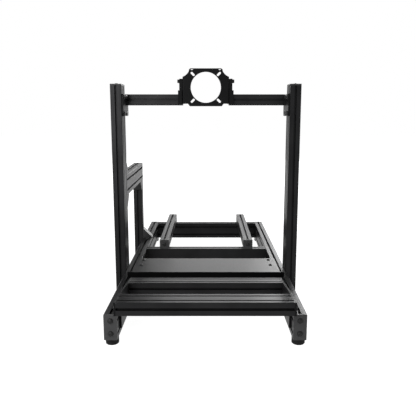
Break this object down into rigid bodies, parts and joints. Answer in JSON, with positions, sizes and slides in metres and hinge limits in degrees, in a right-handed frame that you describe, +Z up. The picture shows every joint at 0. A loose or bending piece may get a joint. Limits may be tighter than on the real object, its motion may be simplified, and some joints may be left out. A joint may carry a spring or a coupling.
{
  "type": "sim racing cockpit",
  "caption": "Open frame of slotted aluminium profile with a wheel motor plate, a tilted pedal deck, a heel plate, seat rails and a side shifter arm, on round feet.",
  "frame": {"origin": "on the floor, at the middle of the cockpit's footprint", "axes": "+Z up, +Y from the pedal end to the seat end, +X to the driver's left as they sit facing the pedals"},
  "size_m": [0.68, 1.4, 0.8436],
  "materials": {
    "profile": "satin black anodised extrusion",
    "end_plate": "satin black anodised plate",
    "steel_plate": "black powder coat, fine grain",
    "gusset_casting": "black coated die casting",
    "rubber": "matt black",
    "plastic_cap": "matt black moulding"
  },
  "bodies": {
    "frame": {"beam_flange_left": "steel_plate", "beam_flange_right": "steel_plate", "beam_plate_left": "steel_plate", "beam_plate_right": "steel_plate", "deck_front_bar": "profile", "deck_rear_bar": "profile", "deck_side_left": "steel_plate", "deck_side_right": "steel_plate", "foot_front_left": "rubber", "foot_front_right": "rubber", "foot_rear_left": "rubber", "foot_rear_right": "rubber", "gusset_arm_bottom": "gusset_casting", "gusset_arm_top": "gusset_casting", "gusset_post_foot": "gusset_casting", "gusset_post_top": "gusset_casting", "heel_angle_left": "steel_plate", "heel_angle_right": "steel_plate", "heel_plate": "steel_plate", "rail_front_plate_left": "end_plate", "rail_front_plate_right": "end_plate", "rail_left": "profile", "rail_rear_plate_left": "end_plate", "rail_rear_plate_right": "end_plate", "rail_right": "profile", "rear_crossbar": "profile", "seat_crossbar": "profile", "seat_rail_cap_left": "plastic_cap", "seat_rail_cap_right": "plastic_cap", "seat_rail_left": "profile", "seat_rail_plate_left": "end_plate", "seat_rail_plate_right": "end_plate", "seat_rail_right": "profile", "shifter_arm": "profile", "shifter_arm_cap": "plastic_cap", "shifter_post": "profile", "upright_left": "profile", "upright_plate_left": "end_plate", "upright_plate_right": "end_plate", "upright_right": "profile", "wheel_beam_left": "profile", "wheel_beam_right": "profile", "wheel_bracket_left": "steel_plate", "wheel_bracket_right": "steel_plate"},
    "wheel_mount": {"wheel_plate": "steel_plate"}
  },
  "joints": [
    {"name": "wheel_plate_tilt", "type": "hinge", "parent": "frame", "child": "wheel_mount", "pos_m": [0, -0.10501, 0.7991], "axis": [1, 0, 0], "range_deg": [-10, 20]}
  ]
}
